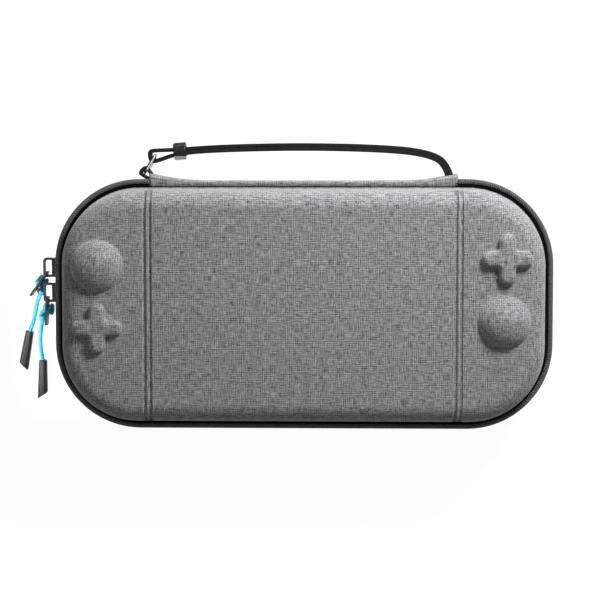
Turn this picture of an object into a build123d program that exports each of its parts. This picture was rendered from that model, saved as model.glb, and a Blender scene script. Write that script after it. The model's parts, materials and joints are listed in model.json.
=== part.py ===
from build123d import *
import os
from math import copysign, cos, radians, sin, sqrt, tan

# A hard-shell zip case for a handheld game console, lying on its back.
# Millimetres. The origin is the centre of the back face, +X is right,
# +Y is towards the spine and +Z is towards the embossed front.

# Moulded shells
case_length = 248.0
case_width = 120.0
corner_radius = 39.5
shell_height = 20.0
shell_wall = 3.5
edge_roll = 9.5
wall_draft = 4.5
lip_reach = 0.3
lip_height = 1.4
lip_round = 0.2

# Embossing of the front: sticks, crosses and the lines beside the middle panel,
# with insets from the case's ends
dome_radius = 13.2
dome_height = 7.5
dome_foot = 1.0
emboss_sink = 1.4
cross_span = 25.8
cross_arm = 8.4
cross_height = 4.0
cross_roll = 2.8
cross_inner_round = 1.6
left_dome_inset = 20.0
left_dome_y = 20.9
left_cross_inset = 20.0
left_cross_y = -10.5
right_dome_inset = 22.1
right_dome_y = -6.8
right_cross_inset = 21.1
right_cross_y = 24.7
line_inset = 45.4
line_spacing = 2.8
line_radius = 1.1
line_drop = 9.0

# Zip: rim binding, tape and coil, as offsets from the shell's outline
binding_web = 1.6
binding_bead = 2.5
bead_reach = 4.7
bead_round = 1.1
tape_height = 3.4
tape_offset = 2.3
tape_thickness = 0.9
coil_thickness = 1.4
coil_height = 1.5
coil_round = 0.45
coil_gap = 0.8

# Spine panel, the cloth hinge at the back
spine_end_inset = 4.7
spine_flare_length = 30.0
spine_thickness = 3.5
spine_flare = 3.6
spine_drop = 8.0
spine_seat = 0.15
spine_end_gap = 0.3
spine_round = 1.4
rim_gap = 0.4

# Zip sliders, both on the left side
slider_length = 10.0
slider_shoulder = 5.8
slider_tail = 4.6
slider_plate = 2.0
slider_play = 0.3
slider_inner_play = 0.55
slider_post_length = 2.0
slider_post_width = 0.6
slider_lip = 0.25
slider_lip_width = 0.5
slider_corner = 1.0
bail_inner_reach = 3.6
bail_bar = 1.2
bail_length = 10.2
bail_leg = 1.3
bail_width = 2.2
bail_outer_round = 1.8
bail_inner_round = 1.0
slider_corner_gap = 1.8
slider_pitch = 13.1

# Pull tabs
tab_thickness = 1.0
tab_width = 7.0
tab_pivot_bar = 0.7
tab_pivot_v = 2.7
tab_pivot_reach = 2.7
tab_window_end = 4.5
tab_window_width = 3.2
tab_eye_place = 7.2
tab_eye_length = 4.4
tab_eye_width = 4.2
tab_eye_round = 1.9
tab_corner = 1.4
upper_tab_length = 14.9
upper_tab_angle = 233.9
lower_tab_length = 14.5
lower_tab_angle = 267.1

# Pull cords and what is on them. A loop is measured from the tab's pivot, and a fall
# from the pivot in plan and from the table in height
cord_diameter = 2.2
bend_share = 0.45
knot_radius = 2.1
tip_length = 21.0
tip_mouth_width = 4.2
tip_end_width = 5.3
tip_mouth_depth = 4.4
tip_end_depth = 5.2
tip_round = 0.9
tip_slant = 34.0
upper_cord_loop = [
    (-4.0, -10.1, -2.5),
    (-3.2, -7.9, -2.1),
    (-3.9, -6.2, -0.1),
    (-5.6, -4.5, -0.1),
    (-6.7, -3.6, -1.9),
    (-6.3, -4.0, -4.2),
    (-5.0, -5.7, -5.2),
    (-3.9, -7.9, -4.8),
    (-4.3, -10.5, -4.9),
]
upper_cord_fall = [
    (-7.0, -16.1, 18.2),
    (-9.1, -22.7, 12.6),
    (-11.7, -28.8, 6.8),
    (-13.8, -32.9, 4.2),
    (-14.8, -37.4, 3.9),
]
lower_cord_loop = [
    (-3.5, -10.3, -2.3),
    (-3.8, -8.0, -1.7),
    (-2.4, -7.1, -0.1),
    (0.0, -6.8, -0.1),
    (1.5, -6.8, -1.9),
    (1.0, -6.9, -4.6),
    (-1.2, -7.4, -5.8),
    (-3.4, -8.5, -4.7),
    (-3.7, -10.9, -4.8),
]
lower_cord_fall = [
    (-5.1, -16.7, 18.0),
    (-6.7, -23.7, 12.4),
    (-7.4, -30.4, 6.6),
    (-6.8, -35.4, 4.2),
    (-6.7, -39.9, 3.9),
]
upper_tip_heading = (-3.7, -19.4, -1.0)
lower_tip_heading = (-0.5, -19.4, -1.0)

# Wrist strap with its crimp, link and webbing loop, measured inwards from the spine's
# ends and outwards from the case's back edge
strap_width = 6.0
strap_layer = 2.0
strap_drop = 4.0
strap_start = [(13.4, 18.9), (34.4, 20.6)]
strap_crest = (80.3, 21.6)
strap_finish = [(34.6, 20.4), (14.6, 17.8), (5.2, 12.6), (3.3, 4.2)]
strap_loop_inset = (2.1, 16.8)
strap_loop_radius = 1.8
strap_neck_inset = (11.0, 18.6)
crimp_length = 6.8
crimp_across = 9.4
crimp_deep = 8.6
crimp_round = 0.8
crimp_inset = (15.0, 19.05)
crimp_turn = 4.5
neck_radius = 0.15
link_bar = 1.6
link_play = 0.45
link_corner = 2.0
webbing_thickness = 1.6
webbing_eye_inset = (-3.2, 8.1)
webbing_eye_radius = 1.35
webbing_neck_inset = (-1.2, 5.7)
webbing_leg_inset = (1.0, 4.3)
webbing_leg_length = 2.4

# Inside: lid pocket and console strap
mesh_thickness = 0.8
mesh_drop = 6.3
mesh_mouth = 26.0
hem_width = 7.0
hem_thickness = 2.0
band_width = 25.0
band_thickness = 1.2
band_end_gap = 0.7
band_lap = 10.0
band_rise = 8.0
patch_thickness = 0.8

# Worked out from the sizes above
zip_plane = shell_height + binding_web + tape_height
front_rim = zip_plane + tape_height + binding_web
side_x = -case_length / 2
spine_y = case_width / 2
coil_offset = tape_offset + tape_thickness
coil_outside = coil_offset + coil_thickness
corner_centre_y = spine_y - corner_radius
upper_slider_y = corner_centre_y - slider_corner_gap
lower_slider_y = upper_slider_y - slider_pitch
left_dome_place = (side_x + left_dome_inset, left_dome_y)
left_cross_place = (side_x + left_cross_inset, left_cross_y)
right_dome_place = (-side_x - right_dome_inset, right_dome_y)
right_cross_place = (-side_x - right_cross_inset, right_cross_y)
line_place = -side_x - line_inset
spine_length = case_length - 2 * (corner_radius + spine_end_inset)
spine_straight = spine_length - 2 * spine_flare_length
spine_bottom = shell_height - spine_drop
strap_height = shell_height - strap_drop
bed_floor = shell_wall
bed_side = spine_y - (shell_height - shell_wall) * tan(radians(wall_draft)) - edge_roll
band_reach = bed_side - band_end_gap


def outline(grow):
    """The case's rounded outline, offset outwards by grow."""
    return RectangleRounded(case_length + 2 * grow, case_width + 2 * grow, corner_radius + grow)


def ring(outer, inner, height, bottom):
    """A band between two offsets of the outline, standing on bottom."""
    return Pos(0, 0, bottom) * extrude(outline(outer) - outline(inner), height)


def pan(grow, height, roll):
    """A drafted block on the outline with a rolled edge, rim at z = 0 and face up."""
    block = extrude(outline(grow), height, taper=wall_draft)
    return fillet(block.edges().group_by(Axis.Z)[-1], roll)


def cavity():
    """The hollow of one shell, rim at z = 0."""
    return pan(-shell_wall, shell_height - shell_wall, edge_roll - shell_wall)


def rim_lip():
    """The small outward lip at a shell's rim."""
    lip = ring(lip_reach, -shell_wall / 2, lip_height, 0)
    outer_top = lip.edges().group_by(Axis.Z)[-1].sort_by(SortBy.DISTANCE)[-8:]
    return fillet(outer_top, lip_round)


def dome(radius, height):
    """A round stick cap of that radius and height above z = 0, sunk into what is below."""
    rise = height + emboss_sink
    widest = radius / sqrt(1 - (emboss_sink / rise) ** 2)
    arc = EllipticalCenterArc((0, -emboss_sink), widest, rise, start_angle=0, arc_size=90)
    foot = (0, -emboss_sink)
    profile = make_face([arc, Line(arc @ 1, foot), Line(foot, arc @ 0)])
    return revolve(Plane.XZ * profile, Axis.Z)


def dome_hollow():
    """The round hollow behind a dome, rising from the shell's inner face at z = 0."""
    base = dome_radius - shell_wall
    radius = (base**2 + dome_height**2) / (2 * dome_height)
    return Pos(0, 0, dome_height - radius) * Sphere(radius)


def cross():
    """A rounded plus, sunk a little into the face below it."""
    arm = SlotOverall(cross_span, cross_arm)
    plan = arm + Rot(0, 0, 90) * arm
    inner = plan.vertices().filter_by(lambda v: abs(abs(v.X) - abs(v.Y)) < 0.01)
    plan = fillet(inner, cross_inner_round)
    block = Pos(0, 0, -emboss_sink) * extrude(plan, cross_height + emboss_sink)
    return fillet(block.edges().group_by(Axis.Z)[-1], cross_roll)


def panel_line(x):
    """A round-bottomed groove across the front at x, from side wall to side wall."""
    start = shell_height - line_drop
    start_y = spine_y - start * tan(radians(wall_draft))
    top_y = spine_y - shell_height * tan(radians(wall_draft))
    corners = [(-start_y, start), (-top_y, shell_height), (top_y, shell_height), (start_y, start)]
    path = FilletPolyline(*[Vector(x, y, z) for y, z in corners], radius=edge_roll)
    return sweep(Plane(path @ 0, z_dir=path % 0) * Circle(line_radius), path=path)


def dome_feet(shell, place):
    """The edges where a dome meets the face and the rolled edge round it."""
    found = []
    for edge in shell.edges():
        spots = [edge @ t for t in (0, 0.5, 1)]
        away = [Vector(p.X - place[0], p.Y - place[1]).length - dome_radius for p in spots]
        low = max(p.Z for p in spots) < shell_height + 0.01
        if low and max(abs(a) for a in away) < emboss_sink / 2:
            found.append(edge)
    return found


def front_shell():
    outer = pan(0, shell_height, edge_roll)
    for place in (left_dome_place, right_dome_place):
        outer += Pos(*place, shell_height) * dome(dome_radius, dome_height)
        outer = fillet(dome_feet(outer, place), dome_foot)
    for place in (left_cross_place, right_cross_place):
        outer += Pos(*place, shell_height) * cross()
    for side in (-1, 1):
        for step in (-0.5, 0.5):
            outer -= panel_line(side * line_place + step * line_spacing)
    hollow = cavity()
    for place in (left_dome_place, right_dome_place):
        hollow += Pos(*place, shell_height - shell_wall) * dome_hollow()
    return Pos(0, 0, front_rim) * (outer + rim_lip() - hollow)


def back_shell():
    shell = pan(0, shell_height, edge_roll) + rim_lip() - cavity()
    return Pos(0, 0, shell_height) * Rot(180, 0, 0) * shell


def spine_cut(offset):
    """The space of the spine panel, to be taken out of what runs behind it."""
    reach = spine_length / 2 + spine_end_gap
    depth = 4 * bead_reach
    tall = 2 * (front_rim + shell_height)
    return Pos(0, spine_y + offset + depth / 2, 0) * Box(2 * reach, depth, tall)


def rim_binding():
    """The bound rim of one half: a flat web under the shell and a proud round bead."""
    web = ring((bead_reach + tape_offset) / 2, -shell_wall, binding_web, tape_height)
    bead = ring(bead_reach, bead_reach - binding_bead, binding_bead, tape_height)
    bead = fillet(bead.edges().filter_by(lambda e: abs(e.tangent_at(0.5).Z) < 0.5), bead_round)
    return web + bead - spine_cut(lip_reach)


def zip_tape():
    tall = tape_height - coil_gap / 2
    tape = ring(tape_offset + tape_thickness, tape_offset, tall, coil_gap / 2)
    return tape - spine_cut(-corner_radius / 4)


def zip_coil():
    coil = ring(coil_outside, coil_offset, coil_height, coil_gap / 2)
    outer = coil.edges().filter_by(lambda e: abs(e.tangent_at(0.5).Z) < 0.5)
    outer = outer.sort_by(SortBy.DISTANCE)[-16:]
    return fillet(outer, coil_round) - spine_cut(-corner_radius / 4)


def front_half(piece):
    return Pos(0, 0, zip_plane) * piece


def back_half(piece):
    return Pos(0, 0, zip_plane) * Rot(180, 0, 0) * mirror(piece, Plane.XZ)


def spine_panel(strap, webbing):
    """The cloth hinge: flat in the middle and flared at its ends over the strap's seams."""
    inside = spine_y + lip_reach + spine_seat
    outside = inside + spine_thickness
    half = spine_length / 2
    flat = spine_straight / 2
    run = Line((-flat, outside), (flat, outside))
    right = TangentArc([(flat, outside), (half, outside + spine_flare)], tangent=(1, 0))
    left = TangentArc([(-flat, outside), (-half, outside + spine_flare)], tangent=(-1, 0))
    sides = [Line(right @ 1, (half, inside)), Line((half, inside), (-half, inside))]
    plan = make_face([run, right, left, *sides, Line((-half, inside), left @ 1)])
    panel = Pos(0, 0, spine_bottom) * extrude(plan, front_rim - rim_gap - spine_bottom)
    outer = panel.edges().filter_by(lambda e: e.center().Y > outside - 0.01)
    panel = fillet(outer, spine_round)
    return panel - strap - webbing


def slider(y):
    """A zip slider at y on the left side: two plates, a post between the coils and a bail."""
    inner_face = tape_offset - slider_inner_play
    outer_face = coil_outside + slider_play
    half = slider_length / 2
    wide = slider_shoulder / 2
    narrow = slider_tail / 2
    corners = [(-half, wide), (half, narrow), (half, -narrow), (-half, -wide)]
    plan = fillet(make_face(Polyline(*corners, close=True)).vertices(), slider_corner)
    plate = extrude(Plane.YZ * plan, slider_plate)
    inner = Pos(inner_face - slider_plate, 0, 0) * plate
    outer = Pos(outer_face, 0, 0) * plate
    post_long = outer_face - inner_face
    post_plan = Ellipse(slider_post_length / 2, slider_post_width / 2)
    post = Plane.YZ.offset(inner_face) * Pos(-half + slider_post_length, 0) * post_plan
    body = inner + outer + extrude(post, post_long)
    lip_plan = plan - offset(plan, -slider_lip_width)
    lip = extrude(Plane.YZ.offset(outer_face - slider_lip) * lip_plan, slider_lip)
    gate = Box(2 * slider_lip, slider_length * 2, slider_tail - 2 * slider_lip_width)
    body += lip - Pos(outer_face, 0, 0) * gate
    plate_top = outer_face + slider_plate
    reach = bail_inner_reach + bail_bar + slider_plate / 2
    window = bail_inner_reach + slider_plate / 2
    arch = Pos(reach / 2, 0) * RectangleRounded(reach, bail_length, bail_outer_round)
    arch -= Pos(window / 2, 0) * RectangleRounded(window, bail_length - 2 * bail_leg, bail_inner_round)
    bail = Pos(plate_top - slider_plate / 2, 0, 0) * extrude(arch, bail_width / 2, both=True)
    body += bail
    return Pos(side_x, y, zip_plane) * Rot(0, 0, 180) * body


def tab_pivot(y):
    """The middle of the tab's pivot bar, inside the bail of the slider at y."""
    reach = coil_outside + slider_play + slider_plate + tab_pivot_reach
    return Vector(side_x - reach, y - tab_pivot_v, zip_plane)


def pull_tab(y, length, angle):
    """A flat tab standing on edge, with a window round the bail and an eye for the cord."""
    heading = Vector(cos(radians(angle)), sin(radians(angle)), 0)
    middle = (length - tab_pivot_bar) / 2
    plan = Pos(middle, 0) * RectangleRounded(length + tab_pivot_bar, tab_width, tab_corner)
    window = tab_window_end - tab_pivot_bar
    plan -= Pos(tab_pivot_bar + window / 2, 0) * Rectangle(window, tab_window_width)
    plan -= Pos(tab_eye_place, 0) * RectangleRounded(tab_eye_length, tab_eye_width, tab_eye_round)
    side = Vector(heading.Y, -heading.X, 0)
    place = Plane(tab_pivot(y), x_dir=heading, z_dir=side)
    return extrude(place * plan, tab_thickness / 2, both=True)


def bend_radii(points):
    """The largest arc that each corner's two runs allow."""
    radii = []
    for before, here, after in zip(points, points[1:], points[2:]):
        run_in = here - before
        run_out = after - here
        half_turn = radians(run_in.get_angle(run_out)) / 2
        radii.append(bend_share * min(run_in.length, run_out.length) / tan(half_turn))
    return radii


def bent_line(points):
    return FilletPolyline(*points, radius=bend_radii(points))


def cord_route(y, loop, fall):
    """A cord's way round the eye of the tab at y, back to its knot and down to the table."""
    pivot = tab_pivot(y)
    turns = [pivot + Vector(*place) for place in loop]
    return turns + [Vector(pivot.X + x, pivot.Y + y, z) for x, y, z in fall]


def pull_cord(route):
    path = bent_line(route)
    return sweep(Plane(path @ 0, z_dir=path % 0) * Circle(cord_diameter / 2), path=path)


def pull_knot(y, loop, cord):
    """The knot that closes the loop, round the cord's own end and its return."""
    place = Pos(tab_pivot(y))
    lump = Sphere(knot_radius)
    return place * (Pos(*loop[0]) * lump + Pos(*loop[-1]) * lump) - cord


def pull_tip(route, heading, slant, cord):
    """A tapered tip with a slanted end, moulded on the end of the cord."""
    place = Plane(route[-2], x_dir=Vector(-heading[1], heading[0], 0), z_dir=Vector(*heading))
    mouth = RectangleRounded(tip_mouth_width, tip_mouth_depth, tip_round)
    end = RectangleRounded(tip_end_width, tip_end_depth, tip_round)
    sleeve = loft([mouth, Pos(0, 0, tip_length) * end])
    long_side = copysign(tip_end_width / 2, -slant)
    trim = Pos(long_side, 0, tip_length) * Rot(0, slant, 0) * Pos(0, 0, tip_length / 2)
    sleeve -= trim * Box(2 * tip_length, tip_length, tip_length)
    return place * sleeve - cord


def eye_loop(eye, radius, wall, neck, leg):
    """A teardrop loop in plan: a round eye with its wall drawn together into leg."""
    rim = Pos(eye) * Circle(radius + wall)
    outer = make_hull([*rim.edges(), *leg.edges()])
    point = Pos(neck) * Circle(neck_radius)
    inner = make_hull([*(Pos(eye) * Circle(radius)).edges(), *point.edges()])
    return outer - inner


def from_left(place):
    """A point in plan, measured from the spine's left end and the case's back edge."""
    return Vector(-spine_length / 2 + place[0], spine_y + place[1])


def from_right(place):
    """The same from the spine's right end."""
    return Vector(spine_length / 2 - place[0], spine_y + place[1])


def wrist_strap():
    """A doubled strap on edge: both layers run together, and their fold makes the loop."""
    route = [from_left(place) for place in (*strap_start, strap_crest)]
    route += [from_right(place) for place in strap_finish]
    run = trace(bent_line(route), 2 * strap_layer)
    leg = Pos(route[0]) * Circle(strap_layer)
    neck = from_left(strap_neck_inset)
    plan = run + eye_loop(from_left(strap_loop_inset), strap_loop_radius, strap_layer, neck, leg)
    return Pos(0, 0, strap_height) * extrude(plan, strap_width / 2, both=True)


def strap_crimp(strap):
    """An oval metal sleeve round both layers of the strap."""
    sleeve = extrude(Plane.YZ * Ellipse(crimp_across / 2, crimp_deep / 2), crimp_length / 2, both=True)
    sleeve = fillet(sleeve.edges(), crimp_round)
    place = Pos(from_left(crimp_inset)) * Pos(0, 0, strap_height)
    return place * Rot(0, 0, crimp_turn) * sleeve - strap


def strap_link():
    """A round-bar link with one end in the webbing loop and the other in the strap's loop."""
    start = from_left(webbing_eye_inset) + Vector(0, 0, strap_height)
    along = from_left(strap_loop_inset) - from_left(webbing_eye_inset)
    across = strap_width + 2 * link_play + link_bar
    place = Plane(start + along / 2, x_dir=along, z_dir=along.cross(Vector(0, 0, 1)))
    loop = place * RectangleRounded(along.length, across, link_corner)
    path = loop.wire()
    return sweep(Plane(path @ 0, z_dir=path % 0) * Circle(link_bar / 2), path=path)


def webbing_loop():
    """A short webbing loop whose legs are sewn into the spine's left end."""
    leg = Pos(from_left(webbing_leg_inset)) * Rectangle(webbing_leg_length, 2 * webbing_thickness)
    eye = from_left(webbing_eye_inset)
    neck = from_left(webbing_neck_inset)
    plan = eye_loop(eye, webbing_eye_radius, webbing_thickness, neck, leg)
    return Pos(0, 0, strap_height) * extrude(plan, strap_width / 2, both=True)


def mesh_pocket():
    """The lid's net, sewn to three walls and open towards the spine."""
    level = shell_height - shell_wall - mesh_drop - mesh_thickness
    sheet = Pos(0, 0, level + mesh_thickness / 2) * Box(case_length, case_width, mesh_thickness)
    mouth = Pos(0, mesh_mouth + case_width / 2, level) * Box(case_length, case_width, mesh_thickness * 4)
    return Pos(0, 0, front_rim) * (sheet & cavity() - mouth)


def pocket_hem():
    """The elastic hem along the net's mouth."""
    level = shell_height - shell_wall - mesh_drop - mesh_thickness / 2
    bar = Pos(0, mesh_mouth + hem_width / 2, level) * Box(case_length, hem_width, hem_thickness)
    return Pos(0, 0, front_rim) * (bar & cavity())


def band(profile):
    """A flat elastic band across the bed, from its side profile in Y and Z."""
    face = make_face(Polyline(*profile, close=True))
    return extrude(Plane.YZ * face, band_width / 2, both=True)


def lower_band():
    top = bed_floor + band_thickness
    corners = [(-band_reach, bed_floor), (band_lap, bed_floor), (band_lap, top), (-band_reach, top)]
    return band(corners)


def upper_band():
    """The other half, rising over the hook patch to lap the lower band."""
    low = bed_floor
    high = bed_floor + band_thickness + patch_thickness
    step = band_lap + band_rise
    bottom = [(band_reach, low), (step, low), (band_lap, high), (-band_lap, high)]
    top = [(y, z + band_thickness) for y, z in reversed(bottom)]
    return band(bottom + top)


def hook_patch():
    level = bed_floor + band_thickness + patch_thickness / 2
    return Pos(0, 0, level) * Box(band_width, 2 * band_lap, patch_thickness)


def build():
    """Every piece of the case, by name."""
    strap = wrist_strap()
    webbing = webbing_loop()
    upper_route = cord_route(upper_slider_y, upper_cord_loop, upper_cord_fall)
    lower_route = cord_route(lower_slider_y, lower_cord_loop, lower_cord_fall)
    upper_cord = pull_cord(upper_route)
    lower_cord = pull_cord(lower_route)
    return {
        "front_shell": front_shell(),
        "back_shell": back_shell(),
        "front_rim_binding": front_half(rim_binding()),
        "back_rim_binding": back_half(rim_binding()),
        "front_zip_tape": front_half(zip_tape()),
        "back_zip_tape": back_half(zip_tape()),
        "front_zip_coil": front_half(zip_coil()),
        "back_zip_coil": back_half(zip_coil()),
        "spine_panel": spine_panel(strap, webbing),
        "wrist_strap": strap,
        "strap_crimp": strap_crimp(strap),
        "strap_link": strap_link(),
        "strap_webbing_loop": webbing,
        "mesh_pocket": mesh_pocket(),
        "pocket_hem": pocket_hem(),
        "console_band_lower": lower_band(),
        "console_band_upper": upper_band(),
        "band_hook_patch": hook_patch(),
        "upper_slider": slider(upper_slider_y),
        "upper_pull_tab": pull_tab(upper_slider_y, upper_tab_length, upper_tab_angle),
        "upper_pull_cord": upper_cord,
        "upper_pull_knot": pull_knot(upper_slider_y, upper_cord_loop, upper_cord),
        "upper_pull_tip": pull_tip(upper_route, upper_tip_heading, -tip_slant, upper_cord),
        "lower_slider": slider(lower_slider_y),
        "lower_pull_tab": pull_tab(lower_slider_y, lower_tab_length, lower_tab_angle),
        "lower_pull_cord": lower_cord,
        "lower_pull_knot": pull_knot(lower_slider_y, lower_cord_loop, lower_cord),
        "lower_pull_tip": pull_tip(lower_route, lower_tip_heading, tip_slant, lower_cord),
    }


os.makedirs("parts", exist_ok=True)
for node, shape in build().items():
    export_step(shape, f"parts/{node}.step")
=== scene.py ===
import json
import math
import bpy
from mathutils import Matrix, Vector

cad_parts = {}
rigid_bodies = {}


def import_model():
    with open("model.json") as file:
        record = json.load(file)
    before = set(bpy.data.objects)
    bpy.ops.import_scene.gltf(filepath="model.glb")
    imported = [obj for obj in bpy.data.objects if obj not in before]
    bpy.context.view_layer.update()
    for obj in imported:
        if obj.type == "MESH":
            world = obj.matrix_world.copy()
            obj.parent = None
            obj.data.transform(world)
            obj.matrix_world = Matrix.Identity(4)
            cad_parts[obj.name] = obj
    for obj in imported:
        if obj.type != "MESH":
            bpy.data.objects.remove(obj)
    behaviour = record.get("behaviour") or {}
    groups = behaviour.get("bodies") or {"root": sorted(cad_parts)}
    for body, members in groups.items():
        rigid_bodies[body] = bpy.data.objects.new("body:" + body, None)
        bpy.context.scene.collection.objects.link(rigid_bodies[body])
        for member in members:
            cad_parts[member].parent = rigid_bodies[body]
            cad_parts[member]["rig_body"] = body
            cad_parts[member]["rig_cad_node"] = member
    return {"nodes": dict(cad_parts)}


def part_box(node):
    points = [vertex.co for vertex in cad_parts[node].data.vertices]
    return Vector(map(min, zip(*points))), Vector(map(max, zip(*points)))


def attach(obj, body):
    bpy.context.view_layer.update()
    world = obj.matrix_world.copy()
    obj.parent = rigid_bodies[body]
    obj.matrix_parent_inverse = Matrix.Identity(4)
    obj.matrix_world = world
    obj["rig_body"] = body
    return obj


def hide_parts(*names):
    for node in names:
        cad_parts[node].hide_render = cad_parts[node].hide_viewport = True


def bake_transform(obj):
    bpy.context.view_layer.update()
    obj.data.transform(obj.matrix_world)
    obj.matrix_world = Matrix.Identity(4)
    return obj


bl_info = {
    "name": "Zip Case Look",
    "version": (1, 0, 0),
    "blender": (4, 5, 0),
    "location": "View3D > Sidebar > Zip Case",
    "description": "Dresses a hard-shell zip case: moulded cloth, zip, strap and corded pulls",
    "category": "Object",
}

import bpy
from mathutils import Vector

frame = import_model()

# Places read from the frame, in metres
BACK_LOW, BACK_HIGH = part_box("back_shell")
LID_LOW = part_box("front_shell")[0]
SPINE_LOW, SPINE_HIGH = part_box("spine_panel")
STRAP_LOW, STRAP_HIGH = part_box("wrist_strap")
LIP = 0.0003
HALF_LENGTH = BACK_HIGH.x - LIP
HALF_WIDTH = BACK_HIGH.y - LIP
ZIP_PLANE = (BACK_HIGH.z + LID_LOW.z) / 2
LID_FACE = 2 * ZIP_PLANE - BACK_LOW.z
SPINE_HALF = SPINE_HIGH.x
STRAP_LEVEL = (STRAP_LOW.z + STRAP_HIGH.z) / 2


class CaseSizes(bpy.types.PropertyGroup):
    """Sizes that a user would change, in metres."""

    corner_radius: bpy.props.FloatProperty(
        name="Corner Radius",
        description="Radius of the case's corners in plan",
        default=0.0395,
        unit="LENGTH",
    )
    wall: bpy.props.FloatProperty(
        name="Shell Wall", description="Thickness of the moulded shell", default=0.0035, unit="LENGTH"
    )
    edge_roll: bpy.props.FloatProperty(
        name="Edge Roll", description="Radius of the shell's rolled edge", default=0.0095, unit="LENGTH"
    )
    cord_diameter: bpy.props.FloatProperty(
        name="Cord", description="Diameter of the pull cords", default=0.0022, unit="LENGTH"
    )


class CaseColours(bpy.types.PropertyGroup):
    """Colours that a user would change."""

    shell_light: bpy.props.FloatVectorProperty(
        name="Light Thread",
        description="Pale thread of the shell cloth",
        subtype="COLOR",
        default=(0.46, 0.46, 0.465),
    )
    shell_dark: bpy.props.FloatVectorProperty(
        name="Dark Thread",
        description="Dark thread of the shell cloth",
        subtype="COLOR",
        default=(0.035, 0.035, 0.038),
    )
    black_cloth: bpy.props.FloatVectorProperty(
        name="Black Cloth",
        description="Binding, zip tape and webbing",
        subtype="COLOR",
        default=(0.022, 0.022, 0.024),
    )
    cord: bpy.props.FloatVectorProperty(
        name="Cord", description="Braided pull cords", subtype="COLOR", default=(0.05, 0.52, 0.70)
    )


def pick(*pieces):
    """Selects only these pieces and makes the first one active."""
    bpy.ops.object.select_all(action="DESELECT")
    for piece in pieces:
        piece.select_set(True)
    bpy.context.view_layer.objects.active = pieces[0]


def apply_modifier(piece, kind, **settings):
    """Adds one modifier with these settings and applies it."""
    pick(piece)
    modifier = piece.modifiers.new(kind.title(), kind)
    for key, value in settings.items():
        setattr(modifier, key, value)
    bpy.ops.object.modifier_apply(modifier=modifier.name)


def smooth_copy(node, name, angle=32):
    """A merged and smoothly shaded copy of a CAD node, in its place."""
    pick(frame["nodes"][node])
    bpy.ops.object.duplicate()
    piece = bpy.context.object
    piece.name = name
    bpy.ops.object.parent_clear(type="CLEAR_KEEP_TRANSFORM")
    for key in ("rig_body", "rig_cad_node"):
        del piece[key]
    bpy.ops.object.mode_set(mode="EDIT")
    bpy.ops.mesh.select_all(action="SELECT")
    bpy.ops.mesh.remove_doubles(threshold=2e-6)
    bpy.ops.object.mode_set(mode="OBJECT")
    bpy.ops.object.shade_smooth_by_angle(angle=math.radians(angle))
    apply_modifier(piece, "WEIGHTED_NORMAL", keep_sharp=True)
    return piece


def dress(piece, body, slot, nodes, *finishes):
    """Gives a finished piece its named materials and body, and hides the CAD nodes that it stands for; slot
    is not used.
    """
    piece.data.materials.clear()
    for finish in finishes:
        piece.data.materials.append(bpy.data.materials[finish])
    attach(piece, body)
    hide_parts(*nodes)
    return piece


# Node trees


def node(tree, kind, sockets=None, **settings):
    """Adds a node with these settings, and sets or links these input sockets."""
    made = tree.nodes.new(kind)
    for key, value in settings.items():
        setattr(made, key, value)
    for key, value in (sockets or {}).items():
        if isinstance(value, bpy.types.NodeSocket):
            tree.links.new(value, made.inputs[key])
        else:
            made.inputs[key].default_value = value
    return made


def maths(tree, operation, first, second=0.0):
    return node(tree, "ShaderNodeMath", {0: first, 1: second}, operation=operation).outputs[0]


def scaled(tree, vector, scale):
    """A vector stretched by three factors."""
    return node(tree, "ShaderNodeVectorMath", {0: vector, 1: scale}, operation="MULTIPLY").outputs[0]


def noise(tree, vector, detail=2.0):
    return node(tree, "ShaderNodeTexNoise", {"Vector": vector, "Scale": 1.0, "Detail": detail}).outputs["Fac"]


def mix_colour(tree, factor, first, second):
    made = node(tree, "ShaderNodeMix", {"Factor": factor}, data_type="RGBA")
    for socket, value in ((made.inputs[6], first), (made.inputs[7], second)):
        if isinstance(value, bpy.types.NodeSocket):
            tree.links.new(value, socket)
        else:
            socket.default_value = value
    return made.outputs[2]


def ramp(tree, factor, low, high):
    """Factor spread from low..high to 0..1."""
    sockets = {"Value": factor, "From Min": low, "From Max": high}
    return node(tree, "ShaderNodeMapRange", sockets, clamp=True).outputs[0]


def rgba(colour):
    return (*colour, 1.0)


def new_group(name, inputs, outputs):
    """An empty node group with named sockets, and its ends."""
    tree = bpy.data.node_groups.new(name, "ShaderNodeTree")
    for label, kind, default in inputs:
        socket = tree.interface.new_socket(label, in_out="INPUT", socket_type=kind)
        socket.default_value = default
    for label, kind in outputs:
        tree.interface.new_socket(label, in_out="OUTPUT", socket_type=kind)
    start = tree.nodes.new("NodeGroupInput")
    end = tree.nodes.new("NodeGroupOutput")
    return tree, start.outputs, end.inputs


THREADS = 950.0


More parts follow.
